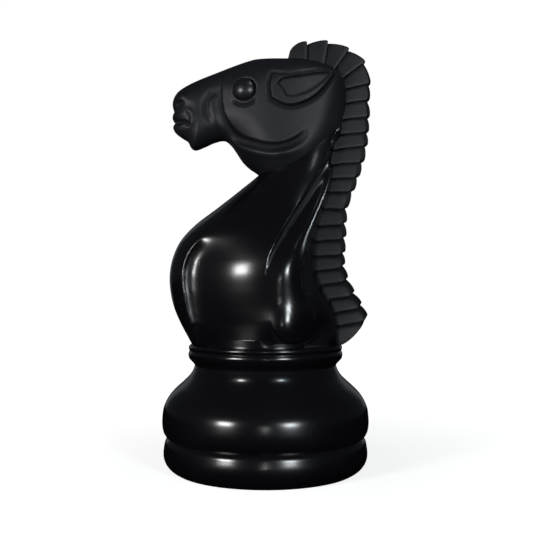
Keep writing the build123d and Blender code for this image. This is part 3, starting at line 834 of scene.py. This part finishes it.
gloss_black = plastic("gloss black plastic", (0.0028, 0.0028, 0.0036), (0.0045, 0.0045, 0.0058),
                      0.18, 0.06, 0.1, 0.5, 0.10)
matt_black = plastic("matt black plastic", (0.0045, 0.0048, 0.0062), (0.0085, 0.0092, 0.0125),
                     0.46, 0.10, 0.8, 0.3, 0.35)
mane_black = plastic("mane plastic", (0.0030, 0.0031, 0.0039), (0.0056, 0.0059, 0.0078),
                     0.48, 0.10, 0.8, 0.3, 0.35)
eye_black = plastic("eye plastic", (0.007, 0.0073, 0.0088), (0.010, 0.0105, 0.0125),
                    0.30, 0.05, 0.2, 0.2, 0.08)
plug_black = plastic("plug plastic", (0.03, 0.03, 0.032), (0.045, 0.045, 0.047),
                     0.45, 0.12, 0.7, 0.4, 0.3)
rubber_black = plastic("seal rubber", (0.02, 0.02, 0.02), (0.03, 0.03, 0.03),
                       0.7, 0.15, 1.0, 0.1, 0.4)
sand_grain = plastic("sand", (0.45, 0.36, 0.24), (0.62, 0.52, 0.38), 0.85, 0.1, 1.0, 0.0, 1.0)
steel = plastic("screw steel", (0.45, 0.45, 0.46), (0.6, 0.6, 0.62), 0.3, 0.15, 0.4, 0.6, 0.2)
steel.node_tree.nodes["Principled BSDF"].inputs["Metallic"].default_value = 1.0
for material in (matt_black, mane_black):
    material.node_tree.nodes["Principled BSDF"].inputs["Specular IOR Level"].default_value = 0.4

FINISHES = {"shell_gloss": gloss_black, "head_matt": matt_black, "eye_gloss": eye_black,
            "plug_plastic": plug_black, "seal_rubber": rubber_black, "sand": sand_grain,
            "screw_steel": steel}


def finish(item, material):
    """Gives an object one material."""
    item.data.materials.clear()
    item.data.materials.append(material)


for item in (neck_left, neck_right, foot, pedestal, collar):
    finish(item, gloss_black)
for item in (head_left, head_right):
    finish(item, matt_black)
finish(mane, mane_black)
for item in eyes:
    finish(item, eye_black)
for part in frame["record"]["subparts"]:
    finish(frame["nodes"][part["node"]], FINISHES[part["material_slot"]])

# %% [markdown]
# ## Floor, light and camera
# A pale floor and a pale surround keep the background bright, but black gloss mirrors what is
# round it. The surround and floor therefore show dark in mirror directions, as in a dim
# studio. Two soft lamps beside the camera make the broad highlights. Narrow spot lamps, each
# aimed at one place, make the small ones on pedestal, cheek, neck and mane. They are set for
# the front view, so the back of the piece stays dark, with only two weak strips behind it.

# %% Floor and surround
def pale_floor():
    """Floor that looks pale to the camera and dark in mirrored rays; to the camera it glows, less
    near the piece.
    """
    made = bpy.data.materials.new("pale floor")
    made.use_nodes = True
    tree = made.node_tree
    shader = tree.nodes["Principled BSDF"]
    shader.inputs["Roughness"].default_value = 0.9
    shader.inputs["Specular IOR Level"].default_value = 0.0
    path = tree.nodes.new("ShaderNodeLightPath")
    tint = tree.nodes.new("ShaderNodeMix")
    tint.data_type = "RGBA"
    tint.inputs["A"].default_value = (0.015, 0.015, 0.018, 1)
    tint.inputs["B"].default_value = (0.9, 0.9, 0.9, 1)
    tree.links.new(path.outputs["Is Camera Ray"], tint.inputs["Factor"])
    tree.links.new(tint.outputs["Result"], shader.inputs["Base Color"])
    # Painted glow and shade: to camera rays the floor glows, at strength 0.8 near the piece rising
    # to 1.0 far away, so it is painted darker round the piece.
    place = tree.nodes.new("ShaderNodeTexCoord").outputs["Object"]
    length = tree.nodes.new("ShaderNodeVectorMath")
    length.operation = "LENGTH"
    tree.links.new(place, length.inputs[0])
    painted_glow_by_distance = remap(tree, length.outputs["Value"], 0.15, 0.6, 0.8, 1.0)
    glow = combine(tree, "MULTIPLY", path.outputs["Is Camera Ray"], painted_glow_by_distance)
    shader.inputs["Emission Color"].default_value = (1, 1, 1, 1)
    tree.links.new(glow, shader.inputs["Emission Strength"])
    return made


FLOOR_SIZE = 12.0
floor_mesh = bpy.data.meshes.new("floor")
corners = [(-FLOOR_SIZE, -FLOOR_SIZE, 0), (FLOOR_SIZE, -FLOOR_SIZE, 0),
           (FLOOR_SIZE, FLOOR_SIZE, 0), (-FLOOR_SIZE, FLOOR_SIZE, 0)]
floor_mesh.from_pydata(corners, [], [(0, 1, 2, 3)])
floor = bpy.data.objects.new("floor", floor_mesh)
bpy.context.scene.collection.objects.link(floor)
floor_mesh.materials.append(pale_floor())

world = bpy.data.worlds.new("surround")
bpy.context.scene.world = world
world.use_nodes = True
tree = world.node_tree
background = tree.nodes["Background"]
path = tree.nodes.new("ShaderNodeLightPath")
tint = tree.nodes.new("ShaderNodeMix")
tint.data_type = "RGBA"
tint.inputs["A"].default_value = (0.035, 0.037, 0.042, 1)
tint.inputs["B"].default_value = (1.0, 1.0, 1.0, 1)
tree.links.new(path.outputs["Is Camera Ray"], tint.inputs["Factor"])
tree.links.new(tint.outputs["Result"], background.inputs["Color"])
background.inputs["Strength"].default_value = 1.0

# %% Lamps
WHITE = (1, 1, 1)
COOL = (0.80, 0.92, 1.0)
PIECE_MIDDLE = (0, 0, 0.2)


def place_light(name, light, azimuth, elevation, distance, aim):
    """Light put round the piece. Azimuth 0 is beside the camera and 90 is to its right."""
    made = bpy.data.objects.new(name, light)
    bpy.context.scene.collection.objects.link(made)
    turn, tilt = math.radians(azimuth), math.radians(elevation)
    away = (math.sin(turn) * math.cos(tilt), -math.cos(turn) * math.cos(tilt), math.sin(tilt))
    made.location = [a + distance * d for a, d in zip(aim, away)]
    made.rotation_euler = (math.pi / 2 - tilt, 0, turn)
    print(name, light.type.lower(), light.energy, "W")


def soft_lamp(name, azimuth, elevation, distance, size, power, colour=WHITE):
    """Square soft lamp turned to the middle of the piece."""
    light = bpy.data.lights.new(name, "AREA")
    light.shape = "RECTANGLE"
    light.size, light.size_y = size
    light.energy, light.color = power, colour
    place_light(name, light, azimuth, elevation, distance, PIECE_MIDDLE)


def spot_lamp(name, azimuth, elevation, distance, aim, cone, radius, power, colour):
    """Round lamp whose cone lights only the place that it is aimed at."""
    light = bpy.data.lights.new(name, "SPOT")
    light.energy, light.color = power, colour
    light.spot_size = math.radians(cone)
    light.spot_blend = 0.4
    light.shadow_soft_size = radius
    place_light(name, light, azimuth, elevation, distance, aim)


soft_lamp("left softbox", -43, 5, 1.7, (0.40, 0.26), 14.0)
soft_lamp("right softbox", 26, 5, 1.8, (0.36, 0.24), 12.0, (0.9, 0.96, 1.0))
soft_lamp("front spot", 0, -4, 1.3, (0.05, 0.05), 0.35)
spot_lamp("high left lamp", -55, 58, 1.6, (-0.026, -0.078, 0.108), 1.0, 0.01, 16.0, WHITE)
spot_lamp("high right lamp", 36, 60, 1.6, (0.016, -0.081, 0.108), 1.0, 0.01, 12.0, COOL)
spot_lamp("cool fill", 35, 45, 1.6, (0.03, -0.03, 0.42), 7.0, 0.08, 16.0, COOL)
spot_lamp("edge light", 100, 12, 1.6, (0.03, -0.06, 0.30), 4.5, 0.05, 12.0, COOL)
spot_lamp("mane light", 25, 35, 1.6, (0.10, 0.0, 0.43), 6.0, 0.05, 12.0, WHITE)
for side in (-1, 1):
    soft_lamp("rim strip %d" % side, side * 152, 15, 1.6, (0.3, 1.2), 0.25, COOL)

# %% Camera
CAMERA_DISTANCE = 0.874
CAMERA_HEIGHT = 0.1954
SENSOR_WIDTH = 36
FOCAL_WIDTHS = 1.457786  # focal length in sensor widths
camera_data = bpy.data.cameras.new("camera")
camera_data.lens = SENSOR_WIDTH * FOCAL_WIDTHS
camera_data.sensor_width = SENSOR_WIDTH
camera_data.shift_x = 0.002
camera_data.shift_y = 0.0516
camera_data.clip_start = 0.05
camera = bpy.data.objects.new("camera", camera_data)
camera.location = (0.0, -CAMERA_DISTANCE, CAMERA_HEIGHT)
camera.rotation_euler = (math.pi / 2, 0, 0)
bpy.context.scene.collection.objects.link(camera)
bpy.context.scene.camera = camera
bpy.context.scene.view_settings.view_transform = "Standard"
